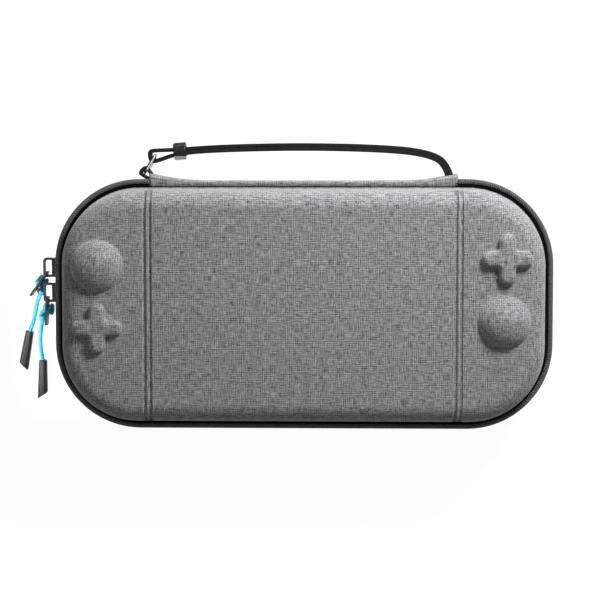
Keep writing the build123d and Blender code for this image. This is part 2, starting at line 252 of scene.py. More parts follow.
def heather_group():
    """Slubbed warp and weft in two thread colours, on 3-D places in metres."""
    tree, given, out = new_group(
        "Heather Weave",
        [
            ("Vector", "NodeSocketVector", (0, 0, 0)),
            ("Light", "NodeSocketColor", (1, 1, 1, 1)),
            ("Dark", "NodeSocketColor", (0, 0, 0, 1)),
        ],
        [("Color", "NodeSocketColor"), ("Height", "NodeSocketFloat")],
    )
    place = given["Vector"]
    across = noise(tree, scaled(tree, place, (240, 1900, 1900)))
    along = noise(tree, scaled(tree, place, (1900, 240, 1900)))
    upright = noise(tree, scaled(tree, place, (1900, 1900, 240)))
    slub = maths(tree, "ADD", maths(tree, "ADD", across, along), maths(tree, "MULTIPLY", upright, 0.6))
    parts = node(tree, "ShaderNodeSeparateXYZ", {"Vector": place}).outputs
    for axis in "XY":
        row = maths(tree, "SINE", maths(tree, "MULTIPLY", parts[axis], 2 * math.pi * THREADS))
        slub = maths(tree, "ADD", slub, maths(tree, "MULTIPLY", row, 0.07))
    share = ramp(tree, slub, 0.93, 1.69)
    tree.links.new(mix_colour(tree, share, given["Dark"], given["Light"]), out["Color"])
    tree.links.new(slub, out["Height"])
    return tree


def twill_group():
    """Slanted ribs on a piece's flat places in metres, as x along and y and z round it."""
    tree, given, out = new_group(
        "Twill Ribs",
        [("Vector", "NodeSocketVector", (0, 0, 0)), ("Pitch", "NodeSocketFloat", 0.0012)],
        [("Rib", "NodeSocketFloat"), ("Fleck", "NodeSocketFloat")],
    )
    parts = node(tree, "ShaderNodeSeparateXYZ", {"Vector": given["Vector"]}).outputs
    slant = maths(tree, "SUBTRACT", maths(tree, "ADD", parts["X"], parts["Y"]), parts["Z"])
    turn = maths(tree, "MULTIPLY", maths(tree, "DIVIDE", slant, given["Pitch"]), 2 * math.pi)
    rib = maths(tree, "MULTIPLY_ADD", maths(tree, "SINE", turn), 0.5)
    rib.node.inputs[2].default_value = 0.5
    fleck = noise(tree, scaled(tree, given["Vector"], (900, 900, 900)))
    tree.links.new(rib, out["Rib"])
    tree.links.new(fleck, out["Fleck"])
    return tree


def use_group(tree, name, **sockets):
    made = node(tree, "ShaderNodeGroup", node_tree=bpy.data.node_groups[name])
    for key, value in sockets.items():
        if isinstance(value, bpy.types.NodeSocket):
            tree.links.new(value, made.inputs[key])
        else:
            made.inputs[key].default_value = value
    return made.outputs


def new_material(name, **sockets):
    """A material with its Principled shader, and constant values set on that shader."""
    material = bpy.data.materials.new(name)
    material.use_nodes = True
    shader = material.node_tree.nodes["Principled BSDF"]
    for key, value in sockets.items():
        shader.inputs[key.replace("_", " ")].default_value = value
    return material, material.node_tree, shader


def object_place(tree):
    return node(tree, "ShaderNodeTexCoord").outputs["Object"]


def cloth_place(tree):
    return node(tree, "ShaderNodeAttribute", attribute_name="cloth").outputs["Vector"]


def add_bump(tree, shader, height, strength, distance):
    sockets = {"Height": height, "Strength": strength, "Distance": distance}
    bump = node(tree, "ShaderNodeBump", sockets)
    tree.links.new(bump.outputs["Normal"], shader.inputs["Normal"])


def shell_cloth(name, place, colours):
    """Heather cloth, on a piece's place in the case or on its own flat places."""
    material, tree, shader = new_material(name, Roughness=0.9, Specular_IOR_Level=0.25, Sheen_Weight=0.3)
    woven = use_group(
        tree,
        "Heather Weave",
        Vector=place(tree),
        Light=rgba(colours.shell_light),
        Dark=rgba(colours.shell_dark),
    )
    tree.links.new(woven["Color"], shader.inputs["Base Color"])
    add_bump(tree, shader, woven["Height"], 0.35, 0.0004)
    return material


def lining_cloth():
    material, tree, shader = new_material(
        "Lining Cloth", Roughness=0.95, Specular_IOR_Level=0.2, Sheen_Weight=0.2
    )
    place = object_place(tree)
    fleck = noise(tree, scaled(tree, place, (1600, 1600, 1600)), 3.0)
    share = ramp(tree, fleck, 0.3, 0.7)
    shade = mix_colour(tree, share, rgba((0.07, 0.07, 0.074)), rgba((0.17, 0.17, 0.175)))
    tree.links.new(shade, shader.inputs["Base Color"])
    add_bump(tree, shader, fleck, 0.4, 0.0004)
    return material


def binding_twill(colours):
    material, tree, shader = new_material(
        "Binding Twill", Roughness=0.7, Specular_IOR_Level=0.4, Sheen_Weight=0.15
    )
    twill = use_group(tree, "Twill Ribs", Vector=cloth_place(tree), Pitch=0.0012)
    # The slanted ribs and flecks are the cloth's weave; their pale grey tone on the black binding is painted
    # highlight on the rib tops.
    share = maths(tree, "MULTIPLY", twill["Rib"], twill["Fleck"])
    shade = mix_colour(tree, share, rgba(colours.black_cloth), rgba((0.3, 0.3, 0.305)))
    tree.links.new(shade, shader.inputs["Base Color"])
    add_bump(tree, shader, twill["Rib"], 1.0, 0.0004)
    return material


def braided_cord(colours):
    material, tree, shader = new_material(
        "Braided Cord", Roughness=0.55, Specular_IOR_Level=0.35, Sheen_Weight=0.1
    )
    place = object_place(tree)
    braid = noise(tree, scaled(tree, place, (1500, 1500, 1500)), 1.0)
    deep = rgba([0.55 * c for c in colours.cord])
    shade = mix_colour(tree, ramp(tree, braid, 0.25, 0.6), deep, rgba(colours.cord))
    tree.links.new(shade, shader.inputs["Base Color"])
    add_bump(tree, shader, braid, 0.3, 0.0003)
    return material


def black_enamel(name, roughness):
    """Black coated metal with uneven gloss."""
    material, tree, shader = new_material(name, Specular_IOR_Level=0.22)
    cloud = noise(tree, scaled(tree, object_place(tree), (350, 350, 350)), 4.0)
    share = ramp(tree, cloud, 0.35, 0.75)
    shade = mix_colour(tree, share, rgba((0.004, 0.004, 0.004)), rgba((0.016, 0.016, 0.017)))
    tree.links.new(shade, shader.inputs["Base Color"])
    gloss = maths(tree, "ADD", maths(tree, "MULTIPLY", cloud, 0.2), roughness)
    tree.links.new(gloss, shader.inputs["Roughness"])
    return material


# Bright metal for the crimp's and link's faces that carry painted reflections and glints
def bright_steel():
    material, tree, shader = new_material("Bright Steel", Metallic=1.0)
    cloud = noise(tree, scaled(tree, object_place(tree), (600, 600, 600)), 3.0)
    shade = mix_colour(tree, cloud, rgba((0.6, 0.6, 0.61)), rgba((0.95, 0.95, 0.95)))
    tree.links.new(shade, shader.inputs["Base Color"])
    tree.links.new(maths(tree, "MULTIPLY", cloud, 0.3), shader.inputs["Roughness"])
    return material


def tip_rubber():
    material, tree, shader = new_material("Tip Rubber", Specular_IOR_Level=0.3)
    place = object_place(tree)
    grain = noise(tree, scaled(tree, place, (2200, 700, 2200)), 3.0)
    shade = mix_colour(tree, grain, rgba((0.006, 0.006, 0.006)), rgba((0.018, 0.018, 0.019)))
    tree.links.new(shade, shader.inputs["Base Color"])
    tree.links.new(maths(tree, "ADD", maths(tree, "MULTIPLY", grain, 0.2), 0.38), shader.inputs["Roughness"])
    add_bump(tree, shader, grain, 0.15, 0.0003)
    return material


def woven_black(name, colours, warp, weft, sheen=0.25, depth=1.0):
    """Plain black weave on a piece's flat places, that many threads per metre along and across; depth scales
    its black, and below 1 paints shade.
    """
    material, tree, shader = new_material(
        name, Roughness=0.9, Specular_IOR_Level=sheen / 2, Sheen_Weight=sheen / 3
    )
    parts = node(tree, "ShaderNodeSeparateXYZ", {"Vector": cloth_place(tree)}).outputs
    rows = maths(tree, "SINE", maths(tree, "MULTIPLY", parts["X"], 2 * math.pi * warp))
    round_place = maths(tree, "ADD", parts["Y"], parts["Z"])
    columns = maths(tree, "SINE", maths(tree, "MULTIPLY", round_place, 2 * math.pi * weft))
    weave = maths(tree, "MULTIPLY", rows, columns)
    share = ramp(tree, weave, -1.0, 1.0)
    low, high = (rgba([tone * depth * c for c in colours.black_cloth]) for tone in (0.5, 1.6))
    shade = mix_colour(tree, share, low, high)
    tree.links.new(shade, shader.inputs["Base Color"])
    add_bump(tree, shader, weave, 0.3, 0.0002)
    return material


def nylon_coil():
    material, tree, shader = new_material("Nylon Coil", Specular_IOR_Level=0.5)
    cloud = noise(tree, scaled(tree, object_place(tree), (900, 900, 900)))
    shade = mix_colour(tree, cloud, rgba((0.008, 0.008, 0.009)), rgba((0.022, 0.022, 0.024)))
    tree.links.new(shade, shader.inputs["Base Color"])
    tree.links.new(maths(tree, "ADD", maths(tree, "MULTIPLY", cloud, 0.2), 0.35), shader.inputs["Roughness"])
    return material


def strap_leather():
    """Black strap leather with a fine pebbled grain and paler worn high spots."""
    material, tree, shader = new_material("Strap Leather", Specular_IOR_Level=0.08)
    place = cloth_place(tree)
    cells = node(tree, "ShaderNodeTexVoronoi", {"Vector": place, "Scale": 1500.0}).outputs["Distance"]
    cloud = noise(tree, scaled(tree, place, (300, 300, 300)), 3.0)
    shade = mix_colour(tree, cloud, rgba((0.006, 0.006, 0.006)), rgba((0.022, 0.022, 0.023)))
    tree.links.new(shade, shader.inputs["Base Color"])
    tree.links.new(maths(tree, "ADD", maths(tree, "MULTIPLY", cells, 0.3), 0.5), shader.inputs["Roughness"])
    add_bump(tree, shader, cells, 0.25, 0.0003)
    return material


def pocket_net():
    """Black net with round open cells."""
    material, tree, shader = new_material("Pocket Net", Roughness=0.8, Specular_IOR_Level=0.3)
    place = object_place(tree)
    flat = scaled(tree, place, (1, 1, 0))
    sockets = {"Vector": flat, "Scale": 420.0, "Randomness": 0.15}
    cells = node(tree, "ShaderNodeTexVoronoi", sockets, feature="DISTANCE_TO_EDGE").outputs["Distance"]
    thread = ramp(tree, cells, 0.26, 0.20)
    fleck = noise(tree, scaled(tree, place, (2500, 2500, 2500)))
    shade = mix_colour(tree, fleck, rgba((0.05, 0.05, 0.052)), rgba((0.13, 0.13, 0.133)))
    tree.links.new(shade, shader.inputs["Base Color"])
    tree.links.new(thread, shader.inputs["Alpha"])
    return material


def hook_patch():
    material, tree, shader = new_material("Hook Patch", Roughness=0.7, Specular_IOR_Level=0.4)
    sockets = {"Vector": object_place(tree), "Scale": 900.0, "Randomness": 0.4}
    hooks = node(tree, "ShaderNodeTexVoronoi", sockets).outputs["Distance"]
    shade = mix_colour(tree, hooks, rgba((0.05, 0.05, 0.052)), rgba((0.012, 0.012, 0.013)))
    tree.links.new(shade, shader.inputs["Base Color"])
    add_bump(tree, shader, maths(tree, "SUBTRACT", 1.0, hooks), 0.6, 0.0005)
    return material


# Pieces


def skin_depth(place, face, sizes):
    """How far a point lies under the outer skin of the shell whose flat face is at height face."""
    inwards = 1 if face < ZIP_PLANE else -1
    down = sizes.edge_roll - inwards * (place.z - face)
    side_x = abs(place.x) - (HALF_LENGTH - sizes.corner_radius)
    side_y = abs(place.y) - (HALF_WIDTH - sizes.corner_radius)
    outside = math.hypot(max(side_x, 0), max(side_y, 0)) + min(max(side_x, side_y), 0)
    across = outside - sizes.corner_radius + sizes.edge_roll
    return sizes.edge_roll - math.hypot(max(across, 0), max(down, 0)) - min(max(across, down), 0)


def flat_bar(name, size, middle, rounding, length, steps, cuts=0):
    """A straight bar along X with a rounded section, that wide and tall, in steps to be bent."""
    bpy.ops.object.select_all(action="DESELECT")
    bpy.ops.mesh.primitive_plane_add(size=1.0, location=(0, *middle), rotation=(0, math.pi / 2, 0))
    bar = bpy.context.object
    bar.name = name
    bar.scale = (size[1], size[0], 1.0)
    bpy.ops.object.transform_apply(location=True, rotation=True, scale=True)
    bpy.ops.object.mode_set(mode="EDIT")
    bpy.ops.mesh.select_all(action="SELECT")
    bpy.ops.mesh.bevel(offset=rounding, segments=4, affect="VERTICES")
    bpy.ops.mesh.delete(type="ONLY_FACE")
    if cuts:
        bpy.ops.mesh.select_all(action="SELECT")
        bpy.ops.mesh.subdivide(number_cuts=cuts)
    bpy.ops.object.mode_set(mode="OBJECT")
    apply_modifier(bar, "SCREW", axis="X", angle=0.0, screw_offset=length, steps=steps, render_steps=steps)
    bpy.ops.object.mode_set(mode="EDIT")
    bpy.ops.mesh.select_all(action="SELECT")
    bpy.ops.mesh.fill_holes(sides=0)
    bpy.ops.mesh.normals_make_consistent(inside=False)
    bpy.ops.object.mode_set(mode="OBJECT")
    return bar


def remember_flat(piece):
    """Stores each point's unbent place, which the weave of the piece then follows."""
    flat = piece.data.attributes.new("cloth", "FLOAT_VECTOR", "POINT")
    flat.data.foreach_set("vector", [c for v in piece.data.vertices for c in v.co])


def bend_along(piece, path):
    """Bends a bar along a path that starts at its x = 0, and removes the path."""
    remember_flat(piece)
    apply_modifier(piece, "CURVE", object=path, deform_axis="POS_X")
    bpy.data.objects.remove(path)
    bpy.ops.object.shade_smooth_by_angle(angle=math.radians(45))
    return piece


def add_path(curve):
    curve.dimensions = "3D"
    curve.twist_mode = "Z_UP"
    path = bpy.data.objects.new(curve.name, curve)
    bpy.context.scene.collection.objects.link(path)
    return path


def smooth_path(points):
    """A smooth open path with these control points."""
    curve = bpy.data.curves.new("smooth path", "CURVE")
    spline = curve.splines.new("NURBS")
    spline.points.add(len(points) - 1)
    for control, point in zip(spline.points, points):
        control.co = (*point, 1.0)
    spline.order_u = 3
    spline.use_endpoint_u = True
    spline.resolution_u = 24
    return add_path(curve)


def outline_path(grow, corner_radius):
    """The case's outline grown by that much, clockwise from the spine's right end to its left end."""
    radius = corner_radius + grow
    x = HALF_LENGTH - corner_radius
    y = HALF_WIDTH - corner_radius
    right, top = x + radius, y + radius
    spots = [(SPINE_HALF, top), (x, top), (right, y), (right, -y), (x, -top)]
    spots += [(-x, -top), (-right, -y), (-right, y), (-x, top), (-SPINE_HALF, top)]
    headings = [(1, 0), (1, 0), (0, -1), (0, -1), (-1, 0), (-1, 0), (0, 1), (0, 1), (1, 0), (1, 0)]
    curve = bpy.data.curves.new("outline path", "CURVE")
    curve.resolution_u = 24
    spline = curve.splines.new("BEZIER")
    spline.bezier_points.add(len(spots) - 1)
    knots = list(spline.bezier_points)
    for knot, spot in zip(knots, spots):
        knot.co = (*spot, 0)
        knot.handle_left = knot.handle_right = knot.co
    for i, (before, after) in enumerate(zip(knots, knots[1:])):
        leaving, arriving = headings[i], headings[i + 1]
        straight = (after.co - before.co).length / 3
        reach = straight if leaving == arriving else ARC_HANDLE * radius
        before.handle_right = before.co + reach * Vector((*leaving, 0))
        after.handle_left = after.co - reach * Vector((*arriving, 0))
    return add_path(curve)


# Handle length of a quarter circle, as a share of its radius
ARC_HANDLE = 0.5523


def path_length(path):
    graph = bpy.context.evaluated_depsgraph_get()
    line = bpy.data.meshes.new_from_object(path.evaluated_get(graph))
    ends = [[line.vertices[i].co for i in edge.vertices] for edge in line.edges]
    length = sum((a - b).length for a, b in ends)
    bpy.data.meshes.remove(line)
    return length


def outline_band(name, size, offset, level, rounding, sizes, step=0.0012):
    """A soft band round the case, size wide and tall, with its middle at that offset and level."""
    path = outline_path(offset, sizes.corner_radius)
    length = path_length(path)
    bar = flat_bar(name, size, (0, level), rounding, length, int(length / step))
    return bend_along(bar, path)


def join(name, *pieces):
    pick(*pieces)
    bpy.ops.object.join()
    bpy.context.object.name = name
    return bpy.context.object


def teardrop(eye, radius, leg, half_gap):
    """Control points of a loop round eye whose two legs meet at leg."""
    along = (leg - eye).normalized()
    side = Vector((-along.y, along.x, 0))
    loop = [eye + radius * side, eye + radius * (side - along)]
    loop += [eye - radius * (side + along), eye - radius * side]
    return [leg + half_gap * side, *loop, leg - half_gap * side]


class CASE_OT_shells(bpy.types.Operator):
    """Moulded lid and tray, with heather cloth outside and lining inside"""

    bl_idname = "zip_case.shells"
    bl_label = "Shells"

    def execute(self, context):
        sizes = context.scene.case_sizes
        for node_name, body, face in (("front_shell", "lid", LID_FACE), ("back_shell", "base", BACK_LOW.z)):
            piece = smooth_copy(node_name, node_name + "_cloth", 40)
            dress(piece, body, "shell_fabric", [node_name], "Heather Cloth", "Lining Cloth")
            for patch in piece.data.polygons:
                if skin_depth(patch.center, face, sizes) > sizes.wall / 2:
                    patch.material_index = 1
        return {"FINISHED"}


class CASE_OT_zip(bpy.types.Operator):
    """Twill bindings, zip tapes and nylon coils round both rims"""

    bl_idname = "zip_case.zip"
    bl_label = "Zip"

    def execute(self, context):
        sizes = context.scene.case_sizes
        for half, body, up in (("front", "lid", 1), ("back", "base", -1)):
            level = ZIP_PLANE + up * (TAPE_TOP + BEAD / 2)
            bead = outline_band("bead", (BEAD, BEAD), BEAD_REACH - BEAD / 2, level, BEAD_ROUND, sizes)
            wide = WEB_REACH + sizes.wall
            level = ZIP_PLANE + up * (TAPE_TOP + WEB / 2)
            web = outline_band("web", (wide, WEB), WEB_REACH - wide / 2, level, WEB / 3, sizes)
            bead_faces = len(bead.data.polygons)
            binding = join(half + "_binding", bead, web)
            cloths = "Binding Twill", "Binding Web", "Zip Tape"
            dress(binding, body, "binding_fabric", [half + "_rim_binding"], *cloths)
            # The web's faces outside get Binding Web, a black weave darkened to a fifth: painted shade in the
            # gap between the shell's wall and the bead.
            for patch in binding.data.polygons[bead_faces:]:
                patch.material_index = 2 if up * patch.normal.z < -0.5 else 1
            tall = TAPE_TOP - COIL_GAP / 2
            level = ZIP_PLANE + up * (COIL_GAP / 2 + tall / 2)
            tape = outline_band(half + "_tape", (TAPE, tall), TAPE_OFFSET + TAPE / 2, level, TAPE / 3, sizes)
            dress(tape, body, "zip_tape", [half + "_zip_tape"], "Zip Tape")
            coil = coil_teeth(half + "_coil", up, sizes)
            dress(coil, body, "zip_coil", [half + "_zip_coil"], "Nylon Coil")
        return {"FINISHED"}


# Zip section, as offsets from the shell's outline and heights from the zip's middle plane
BEAD = 0.0025
BEAD_REACH = 0.0047
BEAD_ROUND = 0.0011
WEB = 0.0016
WEB_REACH = 0.0035
TAPE = 0.0006
TAPE_OFFSET = 0.0026
TAPE_TOP = 0.0034
COIL_GAP = 0.0008
COIL_THICK = 0.0014
COIL_TALL = 0.0015
TOOTH_PITCH = 0.0014
TOOTH_LONG = 0.0011


def coil_teeth(name, up, sizes):
    """One half of the coil: a row of rounded turns on a core, bent round the case."""
    path = outline_path(TAPE_OFFSET + TAPE + COIL_THICK / 2, sizes.corner_radius)
    length = path_length(path)
    level = ZIP_PLANE + up * (COIL_GAP + COIL_TALL) / 2
    bpy.ops.object.select_all(action="DESELECT")
    bpy.ops.mesh.primitive_cube_add(size=1.0, location=(TOOTH_LONG / 2, 0, level))
    teeth = bpy.context.object
    teeth.scale = (TOOTH_LONG, COIL_THICK, COIL_TALL)
    bpy.ops.object.transform_apply(location=True, rotation=True, scale=True)
    bpy.ops.object.mode_set(mode="EDIT")
    bpy.ops.mesh.select_all(action="SELECT")
    bpy.ops.mesh.bevel(offset=TOOTH_LONG / 3, segments=2)
    bpy.ops.object.mode_set(mode="OBJECT")
    apply_modifier(
        teeth,
        "ARRAY",
        count=int(length / TOOTH_PITCH),
        use_relative_offset=False,
        use_constant_offset=True,
        constant_offset_displace=(TOOTH_PITCH, 0, 0),
    )
    section = COIL_THICK / 2, COIL_TALL / 2
    core = flat_bar("core", section, (0, level), COIL_THICK / 8, length, int(length / TOOTH_PITCH))
    return bend_along(join(name, teeth, core), path)


class CASE_OT_spine(bpy.types.Operator):
    """Soft cloth hinge along the back edge, flared over the strap's seams"""

    bl_idname = "zip_case.spine"
    bl_label = "Spine Panel"

    def execute(self, context):
        length = SPINE_HIGH.x - SPINE_LOW.x
        tall = SPINE_HIGH.z - SPINE_LOW.z
        level = (SPINE_HIGH.z + SPINE_LOW.z) / 2
        middle = SPINE_LOW.y + SPINE_THICK / 2
        panel = flat_bar("spine_cloth", (SPINE_THICK, tall), (middle, level), SPINE_ROUND, length, 96, 3)
        remember_flat(panel)
        for point in panel.data.vertices:
            point.co.x -= length / 2
            rise = max(0.0, abs(point.co.x) - (length / 2 - SPINE_FLARE_LONG)) / SPINE_FLARE_LONG
            share = (point.co.y - SPINE_LOW.y) / SPINE_THICK
            point.co.y += SPINE_FLARE * rise**2 * share - SPINE_SEAT * (1 - share)
            point.co.z -= SPINE_DIP * (1 - share) ** 2 * max(0.0, point.co.z - level) / (tall / 2)
        folds = bpy.data.textures.new("spine folds", "CLOUDS")
        folds.noise_scale = SPINE_FOLD_SIZE
        apply_modifier(panel, "DISPLACE", texture=folds, strength=SPINE_FOLD, mid_level=0.6)
        bpy.ops.object.shade_smooth()
        panel.data.materials.append(bpy.data.materials["Spine Cloth"])
        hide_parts("spine_panel")
        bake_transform(panel)
        return {"FINISHED"}


# Spine: its section, its flared ends, its seat in the shells' walls, and its blend about the zip
SPINE_THICK = 0.0035
SPINE_ROUND = 0.0014
SPINE_FLARE = 0.0036
SPINE_FLARE_LONG = 0.03
SPINE_DIP = 0.0012
SPINE_SEAT = 0.0005
SPINE_FOLD = 0.0007
SPINE_FOLD_SIZE = 0.012


class CASE_OT_strap(bpy.types.Operator):
    """Doubled leather strap with its crimp, link and webbing loop"""

    bl_idname = "zip_case.strap"
    bl_label = "Strap"

    def execute(self, context):
        left = Vector((-SPINE_HALF, HALF_WIDTH, 0))
        right = Vector((SPINE_HALF, HALF_WIDTH, 0))
        run = [left + Vector((*p, 0)) for p in STRAP_START]
        run += [right + Vector((-x, y, 0)) for x, y in STRAP_FINISH]
        upper = [shifted(run, i, STRAP_LAYER / 2) for i in range(len(run))]
        lower = [shifted(run, i, -STRAP_LAYER / 2) for i in range(len(run))]
        eye = left + Vector((*STRAP_EYE, 0))
        turn = teardrop(eye, STRAP_EYE_RADIUS + STRAP_LAYER / 2, run[0], STRAP_LAYER / 2)[1:-1]
        section = STRAP_LAYER, STRAP_WIDE
        strap = ribbon("leather_strap", upper[::-1] + turn + lower, section, STRAP_LAYER / 6)
        dress(strap, "base", "strap_leather", ["wrist_strap"], "Strap Leather")
        eye = left + Vector((*WEBBING_EYE, 0))
        leg = left + Vector((*WEBBING_LEG, 0))
        loop = teardrop(eye, WEBBING_EYE_RADIUS + WEBBING / 2, leg, WEBBING / 2)
        webbing = ribbon("webbing_loop", loop, (WEBBING, STRAP_WIDE), WEBBING / 3)
        dress(webbing, "base", "webbing", ["strap_webbing_loop"], "Webbing")
        crimp = smooth_copy("strap_crimp", "crimp")
        dress(crimp, "base", "crimp_metal", ["strap_crimp"], "Crimp Metal", "Bright Steel")
        # The lowest share of the crimp gets Bright Steel: a painted reflection of the white surroundings on
        # its polished lower end.
        low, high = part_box("strap_crimp")
        reflection_top = low.y + CRIMP_REFLECTION_SHARE * (high.y - low.y)
        for patch in crimp.data.polygons:
            patch.material_index = int(patch.center.y < reflection_top)
        link = smooth_copy("strap_link", "link")
        dress(link, "link", "dark_metal", ["strap_link"], "Dark Metal", "Bright Steel")
        # Faces turned towards the lower right get Bright Steel: painted glints and reflections on the black
        # link.
        for patch in link.data.polygons:
            patch.material_index = int(patch.normal.dot(LINK_GLINT_SIDE) > LINK_GLINT_LIMIT)
        return {"FINISHED"}


# Strap: inwards from the spine's ends and outwards from the back edge
STRAP_WIDE = STRAP_HIGH.z - STRAP_LOW.z
STRAP_LAYER = 0.002
STRAP_START = [(0.0134, 0.0189), (0.0344, 0.0206), (0.0803, 0.0216)]
STRAP_FINISH = [(0.0346, 0.0204), (0.0146, 0.0178), (0.0052, 0.0126), (0.0033, 0.0042)]
STRAP_EYE = (0.0021, 0.0168)
STRAP_EYE_RADIUS = 0.0018
# Crimp: the share of its height, from its bottom, that carries the painted reflection
CRIMP_REFLECTION_SHARE = 0.24
# Link: the side whose faces carry painted glints, and how squarely a face must turn to it
LINK_GLINT_SIDE = Vector((0.85, -0.4, 0.2)).normalized()
LINK_GLINT_LIMIT = 0.3
WEBBING = 0.0016
WEBBING_EYE = (-0.0032, 0.0081)
WEBBING_EYE_RADIUS = 0.00135
WEBBING_LEG = (0.001, 0.0043)


def shifted(run, index, aside):
    """The run's point at index, moved to its left by that much."""
    before = run[max(index - 1, 0)]
    after = run[min(index + 1, len(run) - 1)]
    heading = (after - before).normalized()
    return run[index] + aside * Vector((-heading.y, heading.x, 0))


def ribbon(name, points, section, rounding):
    """A flat ribbon on edge, that thick and wide, bent along these points at the strap's level."""
    path = smooth_path(points)
    length = path_length(path)
    bar = flat_bar(name, section, (0, STRAP_LEVEL), rounding, length, max(60, int(length / 0.001)), 1)
    return bend_along(bar, path)


class CASE_OT_inside(bpy.types.Operator):
    """Net pocket in the lid and elastic bands in the tray"""

    bl_idname = "zip_case.inside"
    bl_label = "Inside"

    def execute(self, context):
        net = net_sheet(context.scene.case_sizes)
        dress(net, "lid", "pocket_net", ["mesh_pocket"], "Pocket Net")
        low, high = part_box("pocket_hem")
        section = (high.y - low.y, high.z - low.z)
        middle = ((low.y + high.y) / 2, (low.z + high.z) / 2)
        hem = flat_bar("net_hem", section, middle, section[1] / 3, high.x - low.x, 160, 2)
        remember_flat(hem)
        for point in hem.data.vertices:
            point.co.z += HEM_GATHER * math.sin(point.co.x * HEM_TURNS)
            point.co.x += low.x
        bpy.ops.object.shade_smooth_by_angle(angle=math.radians(45))
        dress(hem, "lid", "elastic", ["pocket_hem"], "Elastic")
        for node_name, name in (("console_band_lower", "lower_band"), ("console_band_upper", "upper_band")):
            band = elastic_band(name, node_name)
            dress(band, "base", "elastic", [node_name], "Elastic")
        patch = smooth_copy("band_hook_patch", "hook_patch")
        dress(patch, "base", "hook_patch", ["band_hook_patch"], "Hook Patch")
        return {"FINISHED"}


# Net, hem and band: cell of the net's grid, its sag, the hem's gathers and the band's lap along Y
NET_CELL = 0.004
NET_THICK = 0.0005
NET_SAG = 0.0012
NET_EDGE = 0.6
HEM_GATHER = 0.00012
HEM_TURNS = 2600.0
BAND_STEP = 0.0011
BAND_FLAT = (0.020, 0.016)
BAND_LAP = (0.011, 0.007)


def net_sheet(sizes):
    """The pocket's net: a sheet cut to the lid's cavity, sagging a little in its middle."""
    low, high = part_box("mesh_pocket")
    size = high - low
    bpy.ops.object.select_all(action="DESELECT")
    bpy.ops.mesh.primitive_grid_add(
        size=1.0,
        x_subdivisions=int(size.x / NET_CELL),
        y_subdivisions=int(size.y / NET_CELL),
        location=(low + high) / 2,
    )
    net = bpy.context.object
    net.name = "pocket_net"
    net.scale = (size.x, size.y, 1.0)
    bpy.ops.object.transform_apply(location=True, rotation=True, scale=True)
    bpy.ops.object.mode_set(mode="EDIT")
    bpy.ops.mesh.select_all(action="DESELECT")
    bpy.ops.object.mode_set(mode="OBJECT")
    for point in net.data.vertices:
        point.select = skin_depth(point.co, LID_FACE, sizes) < sizes.wall * NET_EDGE
        across = (point.co.x - low.x) / size.x
        along = (point.co.y - low.y) / size.y
        point.co.z -= NET_SAG * math.sin(math.pi * across) * math.sin(math.pi * along)
    bpy.ops.object.mode_set(mode="EDIT")
    bpy.ops.mesh.delete(type="VERT")
    bpy.ops.object.mode_set(mode="OBJECT")
    apply_modifier(net, "SOLIDIFY", thickness=NET_THICK, offset=0.0)
    bpy.ops.object.shade_smooth_by_angle(angle=math.radians(45))
    return net


def elastic_band(name, node_name):
    """A flat elastic along Y that follows the CAD band, rising where that one laps the other."""
    low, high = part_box(node_name)
    thick = BAND_STEP
    rise = high.z - low.z - thick
    level = low.z + thick / 2
    if rise > thick / 2:
        flat = [(y, 0) for y in (high.y, *BAND_FLAT)]
        places = flat + [(y, rise) for y in (*BAND_LAP, low.y)]
    else:
        places = [(low.y, 0), (0, 0), (high.y, 0)]
    path = smooth_path([(0, y, level + z) for y, z in places])
    length = path_length(path)
    bar = flat_bar(name, (high.x - low.x, thick), (0, 0), thick / 3, length, int(length / 0.001), 2)
    return bend_along(bar, path)


class CASE_OT_sliders(bpy.types.Operator):
    """Two zip sliders with their bails and thin pull tabs"""

    bl_idname = "zip_case.sliders"
    bl_label = "Sliders"

    def execute(self, context):
        for side in ("upper", "lower"):
            slider = smooth_copy(side + "_slider", side + "_slider_body")
            dress(slider, side + "_slider", "dark_metal", [side + "_slider"], "Dark Metal")
            tab = smooth_copy(side + "_pull_tab", side + "_tab")
            dress(tab, side + "_pull", "dark_metal", [side + "_pull_tab"], "Dark Metal")
        return {"FINISHED"}


class CASE_OT_pulls(bpy.types.Operator):
    """Blue cords on the zip tabs, with their knots and moulded tips"""

    bl_idname = "zip_case.pulls"
    bl_label = "Zip Pulls"

    def execute(self, context):
        sizes = context.scene.case_sizes
        pulls = (
            ("upper", UPPER_PIVOT_Y, UPPER_CORD, UPPER_PULL),
            ("lower", LOWER_PIVOT_Y, LOWER_CORD, LOWER_PULL),
        )
        for side, pivot_y, route, pull in pulls:
            body = side + "_pull"
            points = [Vector((PIVOT_X + x, pivot_y + y, z)) for x, y, z in route]
            cord = cord_curve(side + "_cord", points, sizes.cord_diameter / 2)
            dress(cord, body, "cord_blue", [side + "_pull_cord"], "Braided Cord")
            lump = smooth_copy(side + "_pull_knot", side + "_lump")
            wraps = cord_wraps(Vector((PIVOT_X, pivot_y, WRAP_LEVEL)), pull["tab"], sizes.cord_diameter / 2)
            knot = join(side + "_knot", lump, *wraps)
            dress(knot, body, "cord_blue", [side + "_pull_knot"], "Braided Cord")
            tip = tip_sleeve(side + "_tip", points[-2], pull["tip"], pull["slant"])
            dress(tip, body, "tip_rubber", [side + "_pull_tip"], "Tip Rubber")
        return {"FINISHED"}


